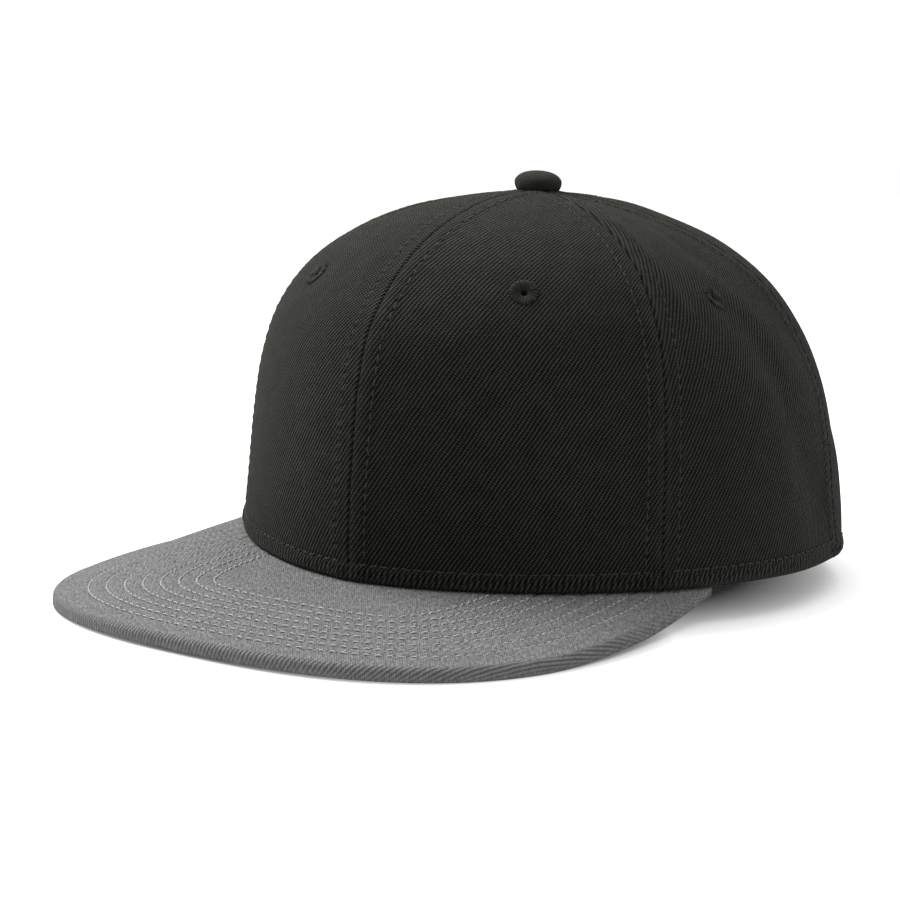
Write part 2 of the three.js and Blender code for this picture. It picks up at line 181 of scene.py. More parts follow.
def plain_crown(angle, climb):
    angle, climb = np.broadcast_arrays(np.asarray(angle, float), np.asarray(climb, float))
    ahead = np.maximum(np.cos(angle), 0) ** 2
    behind = np.maximum(-np.cos(angle), 0) ** 2
    aside = np.sin(angle) ** 2
    foot = rim_point(angle)
    reach = along_sections("front", climb) * ahead + along_sections("side", climb) * aside
    reach = reach + along_sections("back", climb) * behind
    fullness = CHEEK_FULLNESS * 4 * ahead * aside
    reach = reach * (1 + fullness * np.sin(np.pi * np.clip(reach, 0, 1)))
    hip = HIP_FULLNESS * 4 * behind * aside
    reach = reach * (1 + hip * np.sin(np.pi * np.clip(climb / HIP_TOP_CLIMB, 0, 1)))
    x = foot[..., 0] * reach
    y = -APEX_AHEAD + (foot[..., 1] + APEX_AHEAD) * reach
    z = foot[..., 2] + (CROWN_HEIGHT - foot[..., 2]) * along_sections("height", climb)
    return np.stack([x, y, z], -1)


def unit(vectors):
    return vectors / np.linalg.norm(vectors, axis=-1, keepdims=True)


def crown_normal(angle, climb):
    step = 0.004
    low = np.maximum(climb - step, 0)
    high = np.minimum(climb + step, 1 - step)
    across = plain_crown(angle + step, climb) - plain_crown(angle - step, climb)
    upward = plain_crown(angle, high) - plain_crown(angle, low)
    return unit(np.cross(across, upward))


def crease_depth(angle, climb):
    side = np.abs(np.degrees(np.arctan2(np.sin(angle), np.cos(angle))))
    along_rim = math.radians(1) * CROWN_HALF_WIDTH
    depth = 0
    for crease in CREASES:
        (from_angle, to_angle), (from_climb, to_climb) = crease["angles"], crease["climbs"]
        run_x = (to_angle - from_angle) * along_rim
        run_z = (to_climb - from_climb) * CROWN_HEIGHT
        x = (side - from_angle) * along_rim
        z = (climb - from_climb) * CROWN_HEIGHT
        share = np.clip((x * run_x + z * run_z) / (run_x**2 + run_z**2), 0, 1)
        off = np.hypot(x - share * run_x, z - share * run_z)
        width = crease["width"] * CROWN_HALF_WIDTH
        depth = depth + crease["depth"] * CROWN_HALF_WIDTH * bump(off, width)
    return depth


def crown_point(angle, climb, out=0.0):
    out = np.asarray(out - crease_depth(angle, climb))
    return plain_crown(angle, climb) + crown_normal(angle, climb) * out[..., None]


FINE_CLIMBS = np.linspace(0, 1, 801)
FINE_HEIGHTS = along_sections("height", FINE_CLIMBS)


def climb_at_height(angle, z):
    lift = rim_lift(angle)
    return np.interp((z - lift) / (CROWN_HEIGHT - lift), FINE_HEIGHTS, FINE_CLIMBS)


def band_point(angle, rise, inward):
    """A point inside the wall near the rim, moved in level so that its height stays exact."""
    angle, rise = np.broadcast_arrays(np.asarray(angle, float), np.asarray(rise, float))
    climb = climb_at_height(angle, rim_lift(angle) + rise)
    level = crown_normal(angle, climb) * (1, 1, 0)
    depth = np.asarray(inward + crease_depth(angle, climb))
    point = plain_crown(angle, climb) - unit(level) * depth[..., None]
    point[..., 2] = rim_lift(angle) + rise
    return point


def back_angle_at(half_width):
    """The rim angle at the back where the crown is so wide either side of the middle."""
    return math.pi - math.asin((half_width / CROWN_HALF_WIDTH) ** (BACK_ROUNDNESS / 2))


def arch_line(count):
    """Angles and climbs along the opening at the back, from its foot to its top."""
    foot = math.asin(rim_lift(back_angle_at(ARCH_HALF_WIDTH)) / ARCH_HEIGHT)
    turn = np.linspace(foot, math.pi / 2, count)
    x, z = ARCH_HALF_WIDTH * np.cos(turn), ARCH_HEIGHT * np.sin(turn)
    low, high = np.full(count, math.pi / 2), np.full(count, math.pi)
    for _ in range(40):
        middle = (low + high) / 2
        wide = plain_crown(middle, climb_at_height(middle, z))[:, 0] > x
        low, high = np.where(wide, middle, low), np.where(wide, high, middle)
    return high, climb_at_height(high, z)


def length_along(points):
    steps = np.linalg.norm(np.diff(points, axis=0), axis=-1)
    return np.concatenate(([0], np.cumsum(steps)))


def resampled(points, spacing):
    """The line through the points, cut at equal lengths near the wanted spacing."""
    length = length_along(points)
    count = max(int(round(length[-1] / spacing)), 1)
    at = np.linspace(0, length[-1], count + 1)
    return np.stack([np.interp(at, length, points[:, k]) for k in range(points.shape[1])], -1)


# Meshes


def piece(name, points, faces, material, layers, replaces=()):
    """A mesh piece from points in millimetres, with its cloth layers as point values."""
    mesh = bpy.data.meshes.new(name)
    placed = np.asarray(points, float) + (0, LENGTH_SHIFT, 0)
    faces = faces.tolist() if isinstance(faces, np.ndarray) else faces
    mesh.from_pydata((placed * MM).tolist(), [], faces)
    mesh.update()
    for key, values in layers.items():
        values = np.asarray(values, np.float32)
        kind, field = ("FLOAT_VECTOR", "vector") if values.ndim > 1 else ("FLOAT", "value")
        layer = mesh.attributes.new(key, kind, "POINT")
        layer.data.foreach_set(field, values.ravel())
    mesh.polygons.foreach_set("use_smooth", [True] * len(mesh.polygons))
    mesh.materials.append(material)
    made = bpy.data.objects.new(name, mesh)
    bpy.context.scene.collection.objects.link(made)
    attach(made, "root")
    if replaces:
        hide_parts(*replaces)


def grid_faces(rows, columns, start=0, turned=False, wrap=False, keep=None):
    """Quads over a grid of points, seen from outside with columns to the right and rows up."""
    across = columns if wrap else columns - 1
    r, c = np.meshgrid(np.arange(rows - 1), np.arange(across), indexing="ij")
    if keep is not None:
        r, c = r[keep], c[keep]
    r, c = r.ravel(), c.ravel()
    n = (c + 1) % columns
    quads = np.stack([r * columns + c, r * columns + n, (r + 1) * columns + n, (r + 1) * columns + c], -1)
    return (quads[:, ::-1] if turned else quads) + start


def sheet_faces(rows, columns, keep=None):
    """A closed sheet: an outer grid, an inner grid after it, and walls round every edge."""
    if keep is None:
        keep = np.ones((rows - 1, columns - 1), bool)
    size = rows * columns
    faces = [grid_faces(rows, columns, keep=keep), grid_faces(rows, columns, size, turned=True, keep=keep)]
    framed = np.pad(keep, 1)
    here = framed[1:-1, 1:-1]
    sides = (
        (framed[:-2, 1:-1], (0, 1), (0, 0)),
        (framed[2:, 1:-1], (1, 0), (1, 1)),
        (framed[1:-1, :-2], (0, 0), (1, 0)),
        (framed[1:-1, 2:], (1, 1), (0, 1)),
    )
    for beyond, first, second in sides:
        r, c = np.nonzero(here & ~beyond)
        a = (r + first[0]) * columns + c + first[1]
        b = (r + second[0]) * columns + c + second[1]
        faces.append(np.stack([a, b, b + size, a + size], -1))
    return np.concatenate(faces)


def tube_faces(rings, sides):
    """A closed tube through rings of points, each ring with its points in turn."""
    faces = grid_faces(rings, sides, wrap=True).tolist()
    faces.append(list(range(sides))[::-1])
    faces.append([(rings - 1) * sides + k for k in range(sides)])
    return faces


def stitch_run(line, normals, pitch=STITCH_PITCH, length=STITCH_LENGTH, sink=0.22, lift=0.1, centred=False):
    """Stitches along a line on cloth. A centred run has a stitch end at the middle of the cap."""
    both = np.concatenate([line, normals], 1)
    if centred:
        at = length_along(line)
        middle = np.interp(0, line[:, 0], at)
        first = middle - math.floor(middle / pitch) * pitch
        places = np.arange(first, at[-1], pitch / 2)
        both = np.stack([np.interp(places, at, both[:, k]) for k in range(6)], -1)
    else:
        both = resampled(both, pitch / 2)
    points, ups = both[:, :3], unit(both[:, 3:])
    middle = np.arange(1, len(points) - 1, 2)
    ahead = unit(points[middle + 1] - points[middle - 1])
    run = {"at": points[middle], "ahead": ahead, "up": ups[middle]}
    run.update(length=length, sink=sink, lift=lift, girth=1)
    return run


def stitch_piece(name, runs, material, radius=THREAD_RADIUS, seed=3):
    """All stitches of some runs as one mesh of short bent threads."""
    rng = np.random.default_rng(seed)
    sides = 6
    turn = np.arange(sides) / sides * 2 * np.pi
    shares = np.array([-1, -0.86, -0.5, 0, 0.5, 0.86, 1])
    thick = np.array([0.45, 0.85, 1.0, 1.05, 1.0, 0.85, 0.45])
    points, faces = [], []
    for run in runs:
        side = unit(np.cross(run["up"], run["ahead"]))
        count = len(side)
        swing = rng.normal(0, 0.05, (count, 1, 1))
        stretch = 1 + rng.normal(0, 0.05, (count, 1, 1))
        lifts = np.broadcast_to(run["lift"], count)
        girths = np.broadcast_to(run["girth"], count)
        for k in range(count):
            rise = lifts[k] - (lifts[k] + run["sink"]) * np.abs(shares) ** 3
            core = run["at"][k] + run["ahead"][k] * (shares * run["length"] / 2 * stretch[k, 0, 0])[:, None]
            core = core + run["up"][k] * rise[:, None]
            core = core + side[k] * (shares * swing[k, 0, 0] * run["length"])[:, None]
            ring = side[k] * np.cos(turn)[:, None] * 1.12 + run["up"][k] * np.sin(turn)[:, None] * 0.85
            start = len(points) * len(shares) * sides
            girth = thick * radius * girths[k]
            points.append((core[:, None] + ring[None] * girth[:, None, None]).reshape(-1, 3))
            faces.extend([start + k for k in face] for face in STITCH_FACES)
    # How near each point is to its stitch's ends, where the thread is painted darker as shade.
    tip_shades = np.tile(np.repeat(np.abs(shares) ** 7, sides), len(points))
    piece(name, np.concatenate(points), faces, material, {"tip": tip_shades})


STITCH_FACES = tube_faces(7, 6)


# Materials


class Value:
    """A socket's number, so that sums on it add Math nodes."""

    def __init__(self, paint, socket):
        self.paint, self.socket = paint, socket

    def math(self, operation, *others, first=None):
        inputs = [self if first is None else first, *others]
        return self.paint.node("ShaderNodeMath", {"operation": operation}, dict(enumerate(inputs)))

    def __add__(self, other):
        return self.math("ADD", other)

    def __sub__(self, other):
        return self.math("SUBTRACT", other)

    def __rsub__(self, other):
        return self.math("SUBTRACT", self, first=other)

    def __mul__(self, other):
        return self.math("MULTIPLY", other)

    def cos(self):
        return self.math("COSINE")

    def clamp(self):
        return self.math("MAXIMUM", 0.0).math("MINIMUM", 1.0)

    __radd__ = __add__


class Paint:
    """One material under work."""

    def __init__(self, name):
        self.material = bpy.data.materials.new(name)
        self.material.use_nodes = True
        self.tree = self.material.node_tree
        self.tree.nodes.clear()

    def node(self, kind, settings=None, inputs=None, out=0):
        made = self.tree.nodes.new(kind)
        for key, value in (settings or {}).items():
            if key == "stops":
                self.set_stops(made.color_ramp, value)
            else:
                setattr(made, key, value)
        for key, value in (inputs or {}).items():
            if isinstance(value, Value):
                self.tree.links.new(value.socket, made.inputs[key])
            else:
                made.inputs[key].default_value = value
        return Value(self, made.outputs[out]) if len(made.outputs) else None

    @staticmethod
    def set_stops(ramp, stops):
        while len(ramp.elements) < len(stops):
            ramp.elements.new(0.5)
        for element, (place, color) in zip(ramp.elements, stops):
            element.position = place
            element.color = (*color, 1)

    def layer(self, name):
        """A mesh layer of vectors. A layer of numbers is read by amount."""
        return self.node("ShaderNodeAttribute", {"attribute_name": name}, out=1)

    def amount(self, name):
        return self.node("ShaderNodeAttribute", {"attribute_name": name}, out=2)

    def split(self, vector):
        parts = self.tree.nodes.new("ShaderNodeSeparateXYZ")
        self.tree.links.new(vector.socket, parts.inputs[0])
        return [Value(self, parts.outputs[k]) for k in range(3)]

    def noise(self, vector, scale, detail=2.0, roughness=0.5):
        inputs = {"Vector": vector, "Scale": scale, "Detail": detail, "Roughness": roughness}
        return self.node("ShaderNodeTexNoise", {}, inputs)

    def stretch(self, vector, by):
        settings = {"operation": "MULTIPLY"}
        return self.node("ShaderNodeVectorMath", settings, {0: vector, 1: by})

    def mix(self, share, first, second):
        settings = {"data_type": "RGBA"}
        return self.node("ShaderNodeMix", settings, {0: share, 6: first, 7: second}, out=2)

    def ramp(self, value, stops):
        return self.node("ShaderNodeValToRGB", {"stops": stops}, {0: value})

    def relief(self, height, distance):
        inputs = {"Height": height, "Distance": distance * MM, "Strength": 1.0}
        return self.node("ShaderNodeBump", {}, inputs)

    def cloth(self, color, roughness, normal, sheen, sheen_roughness, tint, specular):
        """Finishes the material: steady values sit on the shader itself."""
        inputs = {"Base Color": color, "Roughness": roughness, "Normal": normal}
        inputs["Sheen Weight"] = sheen
        inputs["Sheen Roughness"] = sheen_roughness
        inputs["Sheen Tint"] = (*tint, 1)
        inputs["Specular IOR Level"] = specular
        skin = self.node("ShaderNodeBsdfPrincipled", {}, inputs)
        self.node("ShaderNodeOutputMaterial", {}, {"Surface": skin})
        return self.material


def gray(level):
    return (level, level, level)


def olive(level):
    """A dark cloth's grey, slightly towards green."""
    return (level, level, level * 0.87)


# The twill's ridges and the rows of floats along them: pitch in millimetres and slope.
RIDGE_PITCH, RIDGE_SLOPE = 1.08, math.radians(58)
FLOAT_PITCH, FLOAT_SLOPE = 0.69, math.radians(150.5)
WEFT_PITCH, WEFT_SLOPE = 0.57, math.radians(2)
GRAIN_PITCH, GRAIN_SLOPE = 0.57, math.radians(126)
BRIM_RIDGE_SLOPE = math.radians(72)
RIB_PITCH, RIB_SLOPE = 1.7, math.radians(80)


def stripes(x, y, pitch, slope, shift=0.0):
    """A wave from -1 to 1 whose lines run at the slope."""
    turns = x * (2 * math.pi * math.sin(slope) / pitch) - y * (2 * math.pi * math.cos(slope) / pitch)
    return (turns + shift).cos()


def crown_twill():
    paint = Paint("crown_twill")
    weave = paint.layer("weave")
    x, y, _ = paint.split(weave)
    drift = paint.noise(weave, 0.11, 2.0) * 6.0
    jitter = paint.noise(weave, 0.9, 3.0, 0.6) * 2.0
    ridge = stripes(x, y, RIDGE_PITCH, RIDGE_SLOPE, drift + jitter)
    floats = stripes(x, y, FLOAT_PITCH, FLOAT_SLOPE, jitter * 1.3)
    weft = stripes(x, y, WEFT_PITCH, WEFT_SLOPE, jitter)
    fibre = paint.noise(weave, 2.6, 3.0, 0.65)
    patch = paint.noise(weave, 0.16, 3.0, 0.6)
    ribs = stripes(x, y, RIB_PITCH, RIB_SLOPE, jitter) * paint.amount("hem")
    height = ridge * 0.34 + floats * 0.2 + weft * 0.1 + ribs * 0.4 + fibre * 0.4 + 0.3
    shade = (height + (patch - 0.5) * 0.3).clamp()
    color = paint.ramp(shade, [(0.1, olive(0.0018)), (0.5, olive(0.0074)), (0.95, olive(0.032))])
    lint = ((paint.noise(weave, 1.4, 2.0) - 0.735) * 9.0).clamp()
    color = paint.mix(lint, color, (*olive(0.045), 1))
    # Lighter where this layer is high: real rubbing wear along the panels' seams and rim, and a painted
    # sheen highlight over the whole button.
    color = paint.mix(paint.amount("wear") * 0.3, color, (*olive(0.03), 1))
    normal = paint.relief(height, 0.38)
    return paint.cloth(color, 0.94, normal, 0.06, 0.3, olive(0.6), 0.04)


def brim_twill():
    paint = Paint("brim_twill")
    weave = paint.layer("weave")
    x, y, _ = paint.split(weave)
    drift = paint.noise(weave, 0.1, 2.0) * 4.0
    jitter = paint.noise(weave, 0.8, 3.0, 0.6) * 2.6
    ridge = stripes(x, y, RIDGE_PITCH, BRIM_RIDGE_SLOPE, drift + jitter)
    grain = stripes(x, y, GRAIN_PITCH, GRAIN_SLOPE, jitter * 2.2)
    across = x * math.sin(GRAIN_SLOPE) - y * math.cos(GRAIN_SLOPE)
    along = x * math.cos(GRAIN_SLOPE) + y * math.sin(GRAIN_SLOPE)
    laid = paint.node("ShaderNodeCombineXYZ", {}, {0: across * 1.5, 1: along * 0.36})
    streak = paint.noise(laid, 1.0, 4.0, 0.75)
    patch = paint.noise(weave, 0.13, 3.0, 0.6)
    height = ridge * 0.14 + grain * 0.12 + (streak - 0.5) * 2.6 + 0.5
    shade = (height + (patch - 0.5) * 0.25).clamp()
    color = paint.ramp(shade, [(0.05, gray(0.05)), (0.5, gray(0.11)), (0.95, gray(0.19))])
    rolled = paint.amount("rolled")
    # Painted light: the rolled edge's outer face is painted a lighter grey.
    color = paint.mix(rolled * 0.5, color, (*gray(0.17), 1))
    # Painted shade: the valleys between the rolled edge's ribs are painted darker; they are also sunk in
    # the relief.
    valley_depth_and_shade = (0.3 - ridge * 0.8 - grain * 0.35).clamp() * rolled
    color = paint.mix(valley_depth_and_shade * 0.8, color, (*gray(0.05), 1))
    normal = paint.relief(height - valley_depth_and_shade * 0.8, 0.32)
    return paint.cloth(color, 0.95, normal, 0.05, 0.4, gray(0.7), 0.08)


def thread(name, tone, level, sheen):
    paint = Paint(name)
    place = paint.node("ShaderNodeTexCoord", {}, out=3)
    fine = paint.noise(place, 2400.0, 2.0)
    color = paint.ramp(fine, [(0.25, tone(level * 0.6)), (0.75, tone(level * 1.35))])
    # Painted shade: each stitch darkens towards its ends, where it dips into the cloth.
    color = paint.mix(paint.amount("tip") * 0.7, color, (*tone(level * 0.12), 1))
    normal = paint.relief(fine, 0.08)
    return paint.cloth(color, 0.8, normal, sheen, 0.4, gray(0.7), 0.12)


def satin_thread():
    """Thread laid tightly round an eyelet, across its ring."""
    paint = Paint("satin_thread")
    weave = paint.layer("weave")
    fine = paint.noise(paint.stretch(weave, (2.2, 0.35, 1)), 1.0, 3.0, 0.6)
    color = paint.ramp(fine, [(0.36, olive(0.002)), (0.68, olive(0.02))])
    normal = paint.relief(fine, 0.3)
    return paint.cloth(color, 0.75, normal, 0.05, 0.35, olive(0.6), 0.1)


def moulded_plastic():
    paint = Paint("moulded_plastic")
    place = paint.node("ShaderNodeTexCoord", {}, out=3)
    fine = paint.noise(place, 1500.0, 3.0)
    broad = paint.noise(place, 60.0, 2.0)
    color = paint.ramp(broad, [(0.3, gray(0.004)), (0.7, gray(0.007))])
    rough = 0.4 + (fine - 0.5) * 0.25
    normal = paint.relief(fine, 0.03)
    return paint.cloth(color, rough, normal, 0.0, 0.5, gray(0.5), 0.3)


CROWN_TWILL = crown_twill()
BRIM_TWILL = brim_twill()
CROWN_THREAD = thread("crown_thread", olive, 0.018, 0.06)
BRIM_THREAD = thread("brim_thread", gray, 0.25, 0.04)
SATIN_THREAD = satin_thread()
STRAP_PLASTIC = moulded_plastic()


# Sewn relief


def nearest(points, line, chunk=1500):
    """Each point's distance from a line, and how far along the line it lies."""
    along = length_along(line)
    ahead = unit(np.gradient(line, axis=0))
    gaps, places = [], []
    for part in np.array_split(points, max(len(points) // chunk, 1)):
        offset = part[:, None] - line[None]
        best = (offset**2).sum(-1).argmin(1)
        offset = offset[np.arange(len(part)), best]
        run = (offset * ahead[best]).sum(-1)
        gaps.append(np.sqrt(np.maximum((offset**2).sum(-1) - run**2, 0)))
        places.append(along[best] + run)
    return np.concatenate(gaps), np.concatenate(places)


def waver(along, seed, wave=5.0):
    """A slow uneven wave from -1 to 1 along a line."""
    rng = np.random.default_rng(seed)
    total = np.zeros_like(along)
    for k in range(6):
        length = wave * rng.uniform(0.35, 1.8)
        total = total + np.sin(2 * np.pi * along / length + rng.uniform(0, 2 * np.pi))
    return total / 3.5


def sewn_row(distance, along, row):
    dips = 0.5 + 0.5 * np.cos(2 * np.pi * along / STITCH_PITCH)
    return -ROW_DEPTH * bump(distance - row, 0.55) * (0.35 + dips**3)


def seam_relief(distance, along, seed):
    """A seam: a tight uneven groove, cloth doubled under it, and a sewn row beside it."""
    groove = -GROOVE_DEPTH * bump(distance, 0.42 + 0.1 * waver(along, seed))
    doubled = SEAM_RISE * (1 - smooth((distance - SEAM_ROW + 0.3) / 2.4))
    pull = 0.07 * waver(along, seed + 7, 3.2) * bump(distance - 3, 2.2)
    return groove + doubled + pull + sewn_row(distance, along, SEAM_ROW)


def hem_relief(distance, along, seed):
    """The turned lower edge: rounded, ribbed by the sewing, with its sewn row."""
    rounded = -0.75 * bump(distance, 0.45)
    doubled = HEM_RISE * (1 - smooth((distance - RIM_ROW + 0.6) / 1.2))
    wave = waver(along, seed, 2.6) + 1.3 * np.cos(2 * np.pi * along / 1.6)
    ribs = 0.13 * wave * bump(distance - 2.6, 1.7)
    return rounded + doubled + ribs + sewn_row(distance, along, RIM_ROW)


# Crown panels

TOP_CLIMB = 0.995
ROW_STEP = 0.8
COLUMN_STEP = 1.5
SIDE_COLUMNS = np.array([0, 0.25, 0.5, 0.8, 1.2, 1.8, 2.6, 3.4, 4.1, 4.6, 5, 5.4, 5.9, 6.6, 7.4, 8.4])
LOW_ROWS = np.array([0, 0.25, 0.55, 0.95, 1.5, 2.2, 2.9, 3.6, 4.2, 4.6, 5, 5.4, 5.8, 6.4, 7.1])


def lower_edge(panel, count=321):
    """Angles and climbs along a panel's lower edge, at equal steps."""
    start, end = panel["seams"]
    if not panel["arch"]:
        angle, climb = np.linspace(start, end, count), np.zeros(count)
    else:
        over, up = arch_line(count)
        angle = np.concatenate((np.linspace(start, over[0], count)[:-1], over))
        climb = np.concatenate((np.zeros(count - 1), up))
    length = length_along(plain_crown(angle, climb))
    at = np.linspace(0, length[-1], count)
    return np.interp(at, length, angle), np.interp(at, length, climb)


def panel_lines(panel):
    """The lines that the panel is sewn along: two seams and the lower edge."""
    angle, climb = lower_edge(panel)
    climbs = np.linspace(0, TOP_CLIMB, 321)
    ends = zip(panel["seams"], (0, climb[-1]))
    seams = [plain_crown(seam, climbs[climbs >= foot - 1e-6]) for seam, foot in ends]
    return {"seams": seams, "edge": plain_crown(angle, climb)}


def soft_fold(distance, height):
    """The soft fold high on a side panel, beside its front seam."""
    share = smooth((height - 76) / 16) * (1 - smooth((height - 108) / 6))
    return 0.9 * bump(distance - 4.4 - 0.28 * (108 - height), 3.9) * share


def panel_relief(panel, points):
    """How far the cloth stands out at points of the plain surface."""
    lines = panel["lines"]
    total = hem_relief(*nearest(points, lines["edge"]), panel["seed"])
    for k, seam in enumerate(lines["seams"]):
        total = total + seam_relief(*nearest(points, seam), panel["seed"] + 20 + k)
    centre = crown_point(*panel["eyelet"])
    away = np.linalg.norm(points - centre, axis=-1)
    if panel["name"] == "side":
        total = total + soft_fold(*nearest(points, lines["seams"][0])[:1], points[:, 2])
    return total - 0.35 * bump(away, 6.5)


def flat_places(panel, angle, climb):
    """Where points of the panel lie on its cloth before it is bent, in millimetres."""
    start, end = panel["seams"]
    climbs, angles = np.linspace(0, 1, 161), np.linspace(start, end, 65)
    points = plain_crown(angles[None], climbs[:, None])
    across = np.array([length_along(row) for row in points])
    across = across - across[:, 32:33]
    upward = length_along(points[:, 32])
    u = np.clip((angle - start) / (end - start), 0, 1) * 64
    v = np.clip(climb, 0, 1) * 160
    i, j = np.minimum(u.astype(int), 63), np.minimum(v.astype(int), 159)
    a, b = u - i, v - j
    low = across[j, i] * (1 - a) + across[j, i + 1] * a
    high = across[j + 1, i] * (1 - a) + across[j + 1, i + 1] * a
    return np.stack([low * (1 - b) + high * b, upward[j] * (1 - b) + upward[j + 1] * b, 0 * low], -1)


def panel_grid(panel):
    """Angles and climbs of the panel's mesh, close together beside its seams and hems."""
    start, end = panel["seams"]
    edge_angle, edge_climb = lower_edge(panel, 161)
    share = np.linspace(0, 1, 161)
    climbs = np.linspace(0, TOP_CLIMB, 500)
    length = length_along(plain_crown((start + end) / 2, climbs))
    steps = int((length[-1] - LOW_ROWS[-1]) / ROW_STEP)
    rows = np.concatenate((LOW_ROWS[:-1], np.linspace(LOW_ROWS[-1], length[-1], steps)))
    widest = length_along(plain_crown(np.linspace(start, end, 161), 0.2))[-1]
    inner = int((widest - 2 * SIDE_COLUMNS[-1]) / COLUMN_STEP)
    angles, ups = [], []
    for climb in np.interp(rows, length, climbs):
        turn = 1 - (1 - climb) ** 5
        angle = edge_angle + (start + (end - start) * share - edge_angle) * turn
        up = edge_climb + (TOP_CLIMB - edge_climb) * climb / TOP_CLIMB
        run = length_along(plain_crown(angle, up))
        near = SIDE_COLUMNS * min(1, 0.44 * run[-1] / SIDE_COLUMNS[-1])
        middle = np.linspace(near[-1], run[-1] - near[-1], inner + 1)[1:-1]
        at = np.concatenate((near, middle, run[-1] - near[::-1]))
        angles.append(np.interp(at, run, angle))
        ups.append(np.interp(at, run, up))
    return np.array(angles), np.array(ups)


def mirrored(points):
    return points * (-1, 1, 1)


def punched(points, centre, normal, radius):
    """Moves points near a hole's middle out to its edge, and tells which they are."""
    offset = points - centre
    tangent = offset - (offset @ normal)[..., None] * normal
    away = np.linalg.norm(tangent, axis=-1)
    inside = (away < radius) & (np.linalg.norm(offset, axis=-1) < 3 * radius)
    push = np.where(inside, radius / np.maximum(away, 1e-6), 1)
    return points + tangent * (push - 1)[..., None], inside


def make_panel(panel):
    angle, climb = panel_grid(panel)
    rows, columns = angle.shape
    plain = plain_crown(angle, climb)
    relief = panel_relief(panel, plain.reshape(-1, 3)).reshape(rows, columns)
    outer = crown_point(angle, climb, relief)
    inner = crown_point(angle, climb, -CLOTH_WALL + 0.5 * bump(climb * CROWN_HEIGHT, 0.6))
    centre, normal = panel["seat"]
    outer, inside = punched(outer, centre, normal, EYELET_TUBE + CLEARANCE)
    inner, _ = punched(inner, centre - normal * CLOTH_WALL, normal, EYELET_TUBE + CLEARANCE)
    keep = ~(inside[:-1, :-1] & inside[1:, :-1] & inside[:-1, 1:] & inside[1:, 1:])
    weave = flat_places(panel, angle, climb)
    wear = panel_wear(panel, plain.reshape(-1, 3)).reshape(rows, columns)
    hem = bump(nearest(plain.reshape(-1, 3), panel["lines"]["edge"])[0] - 2.3, 1.8).reshape(rows, columns)
    for side, word in ((1, "left"), (-1, "right")):
        if side < 0:
            outer, inner = mirrored(outer)[:, ::-1], mirrored(inner)[:, ::-1]
            weave, wear, keep = mirrored(weave)[:, ::-1], wear[:, ::-1], keep[:, ::-1]
            hem = hem[:, ::-1]
        points = np.concatenate((outer.reshape(-1, 3), inner.reshape(-1, 3)))
        layers = {"weave": np.tile(weave.reshape(-1, 3), (2, 1))}
        layers.update(wear=np.tile(wear.ravel(), 2), hem=np.tile(hem.ravel(), 2))
        name = f"{panel['name']}_panel_{word}"
        faces = sheet_faces(rows, columns, keep)
        piece("cloth_" + name, points, faces, CROWN_TWILL, layers, [name])


def panel_wear(panel, points):
    """How rubbed the cloth is: along the seams' doubled strips and at the rim."""
    lines = panel["lines"]
    worn = 0.5 * bump(nearest(points, lines["edge"])[0] - 0.8, 0.9)
    for k, seam in enumerate(lines["seams"]):
        gap, along = nearest(points, seam)
        worn = worn + bump(gap - 1.4, 0.8) * (0.5 + 0.5 * waver(along, panel["seed"] + 40 + k, 9.0))
    return np.clip(worn, 0, 1)


def eyelet_seat(angle, climb):
    """The middle of an eyelet and the direction out of the cloth across its width."""
    turn, rise = EYELET_RADIUS / CROWN_HALF_WIDTH, EYELET_RADIUS / CROWN_HEIGHT
    across = crown_point(angle + turn, climb) - crown_point(angle - turn, climb)
    upward = crown_point(angle, climb + rise) - crown_point(angle, climb - rise)
    return crown_point(angle, climb), unit(np.cross(across, upward))


def beside_edge(panel, distance):
    """The line on the cloth at a distance in from the panel's lower edge."""
    angle, climb = lower_edge(panel)
    edge = plain_crown(angle, climb)
    inward = unit(np.cross(crown_normal(angle, climb), np.gradient(edge, axis=0)))
    target = edge + inward * distance
    step = 1e-4
    for _ in range(5):
        here = plain_crown(angle, climb)
        turn = (plain_crown(angle + step, climb) - plain_crown(angle - step, climb)) / (2 * step)
        rise = (plain_crown(angle, climb + step) - here) / step
        miss = target - here
        tt, tr, rr = (turn * turn).sum(-1), (turn * rise).sum(-1), (rise * rise).sum(-1)
        mt, mr = (miss * turn).sum(-1), (miss * rise).sum(-1)
        scale = np.maximum(tt * rr - tr * tr, 1e-6)
        angle = angle + (mt * rr - mr * tr) / scale
        climb = np.clip(climb + (mr * tt - mt * tr) / scale, 0, 1)
    clear = nearest(plain_crown(angle, climb), edge)[0] > distance - 0.12
    return angle[clear], climb[clear]


def beside_seam(panel, which, distance):
    """The line on the cloth at a distance from one of the panel's seams."""
    seam = panel["seams"][which]
    side = 1 if which == 0 else -1
    foot = 0 if which == 0 else lower_edge(panel)[1][-1]
    climb = np.linspace(foot, 0.95, 240)
    turn = np.full_like(climb, 0.01)
    line = plain_crown(seam, climb)
    for _ in range(8):
        away = np.linalg.norm(plain_crown(seam + side * turn, climb) - line, axis=-1)
        turn = turn * distance / away
    return seam + side * turn, climb


def cloth_line(panel, angle, climb):
    """Points and normals of the sewn cloth along a line, without the dips of its own row."""
    plain = plain_crown(angle, climb)
    relief = np.maximum(panel_relief(panel, plain), 0) * 0.6
    return crown_point(angle, climb, relief + 0.02), crown_normal(angle, climb)


def along_part(run, low, high):
    """The stitches of a run from one length along it to another."""
    place = length_along(run["at"])
    keep = (place >= low) & (place <= place[-1] - high)
    return {key: value[keep] if isinstance(value, np.ndarray) else value for key, value in run.items()}


